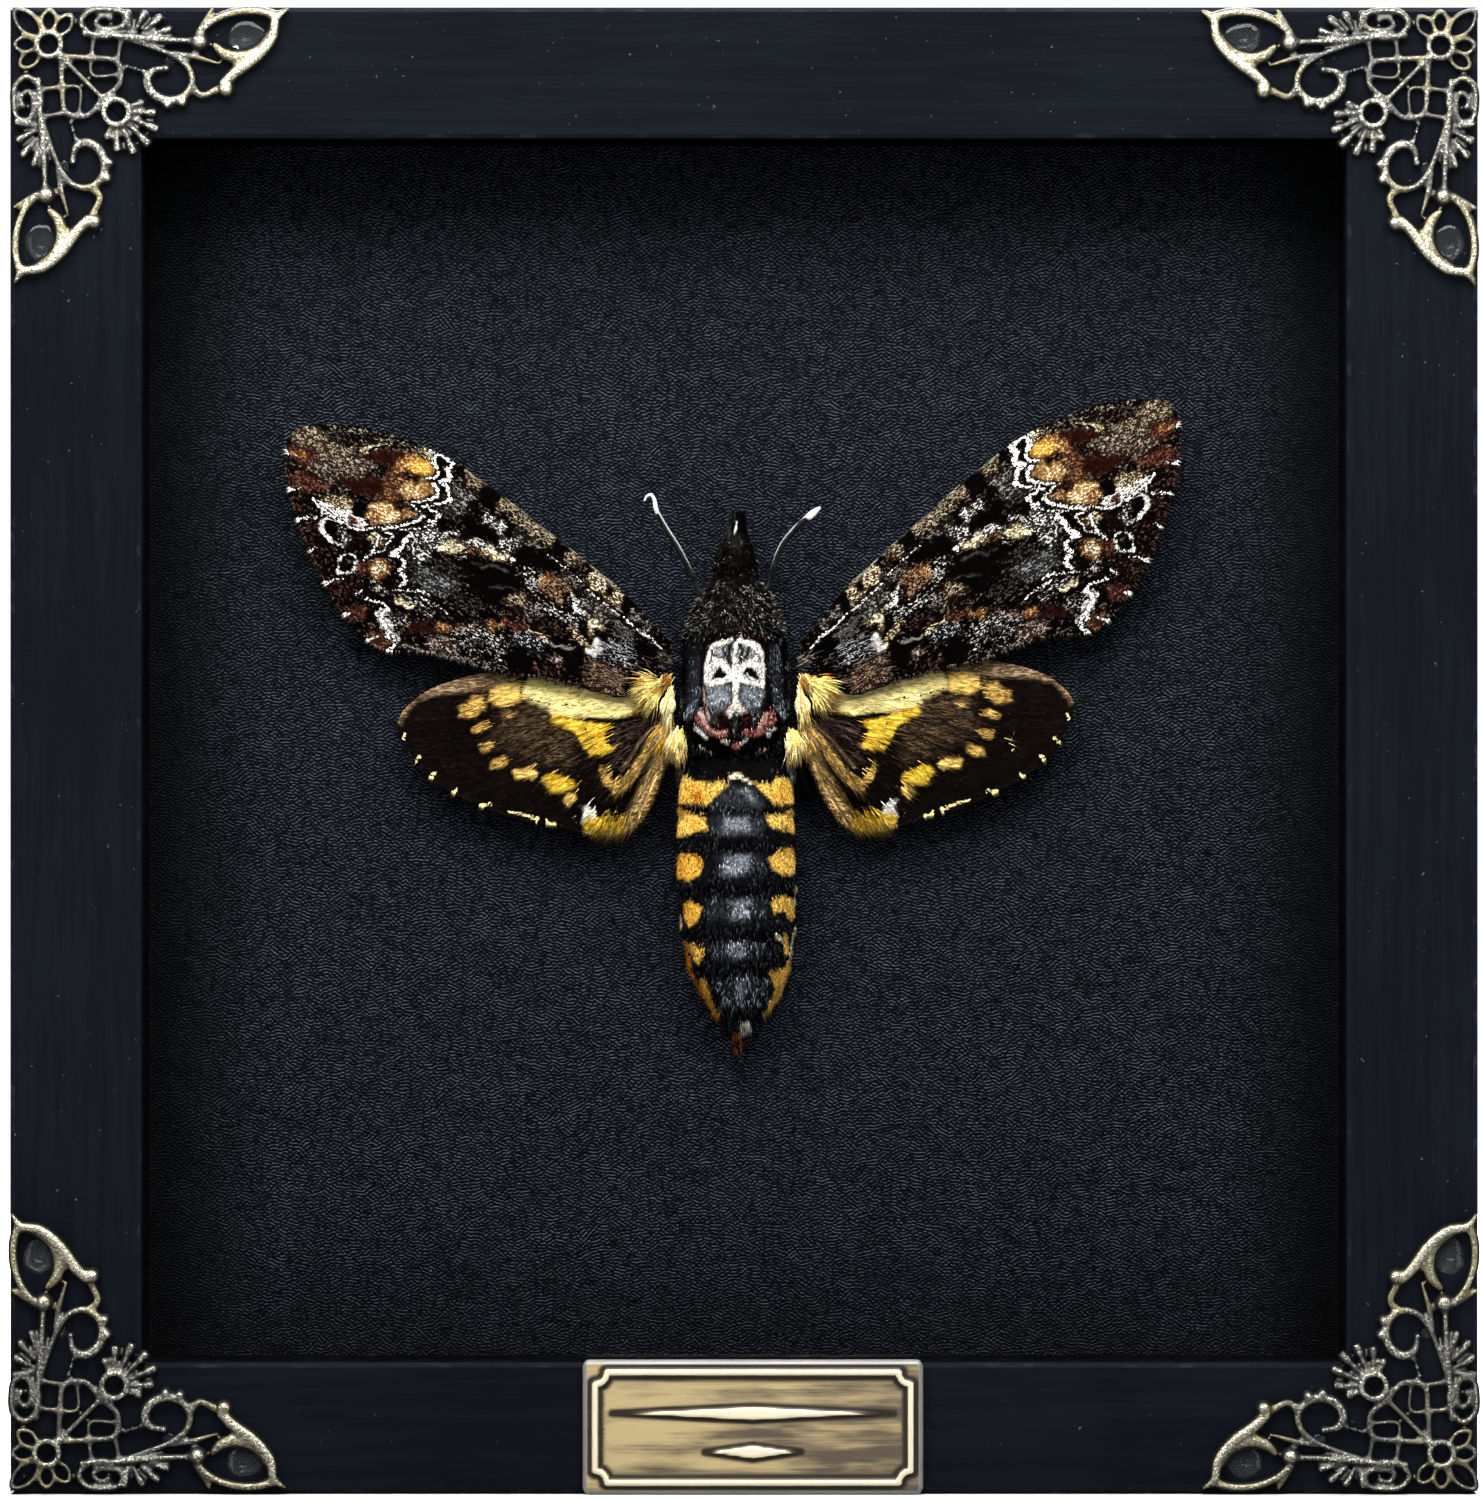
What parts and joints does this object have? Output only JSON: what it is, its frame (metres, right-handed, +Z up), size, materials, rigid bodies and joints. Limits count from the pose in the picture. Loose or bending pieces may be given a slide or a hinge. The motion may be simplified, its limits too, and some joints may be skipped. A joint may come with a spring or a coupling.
{
  "type": "framed hawk moth",
  "caption": "Spread hawk moth on black leatherette in a square black shadow box with a glass front, filigree metal corners and a blank brass name plate.",
  "frame": {"origin": "on the surface it stands on, under the middle of the whole object", "axes": "+X to the right seen from the front, -Y out of the front of the frame towards the viewer, +Z up"},
  "size_m": [0.1984, 0.0318, 0.2007],
  "materials": {
    "black_paint": "matt black paint over wood, grain just showing",
    "glass": "clear",
    "black_card": "matt",
    "leatherette": "pebbled, slightly shiny",
    "hardboard": "bare brown hardboard",
    "old_silver": "antique silver over zinc alloy, dark in the recesses",
    "old_brass": "brushed antique brass, dark round the relief",
    "clear_glue": "clear hot glue",
    "body_fur": "dense short fur and scales",
    "fore_scales": "matt wing scales, black and brown with white zigzag lines",
    "hind_scales": "matt wing scales, dark brown with yellow bands",
    "dark_horn": "black horn with a low shine"
  },
  "bodies": {
    "root": {"rail_bottom": "black_paint", "rail_top": "black_paint", "rail_left": "black_paint", "rail_right": "black_paint", "glass_pane": "glass", "spacer_bottom": "black_card", "spacer_top": "black_card", "spacer_left": "black_card", "spacer_right": "black_card", "leatherette_cover": "leatherette", "back_board": "hardboard", "corner_bottom_left": "old_silver", "corner_bottom_right": "old_silver", "corner_top_left": "old_silver", "corner_top_right": "old_silver", "name_plate": "old_brass", "glue_bottom_left_side": "clear_glue", "glue_bottom_left_end": "clear_glue", "glue_bottom_right_side": "clear_glue", "glue_bottom_right_end": "clear_glue", "glue_top_left_side": "clear_glue", "glue_top_left_end": "clear_glue", "glue_top_right_side": "clear_glue", "glue_top_right_end": "clear_glue", "moth_body": "body_fur", "forewing_left": "fore_scales", "forewing_right": "fore_scales", "hindwing_left": "hind_scales", "hindwing_right": "hind_scales", "antenna_left": "dark_horn", "antenna_right": "dark_horn", "hind_leg_right": "dark_horn"}
  },
  "joints": []
}
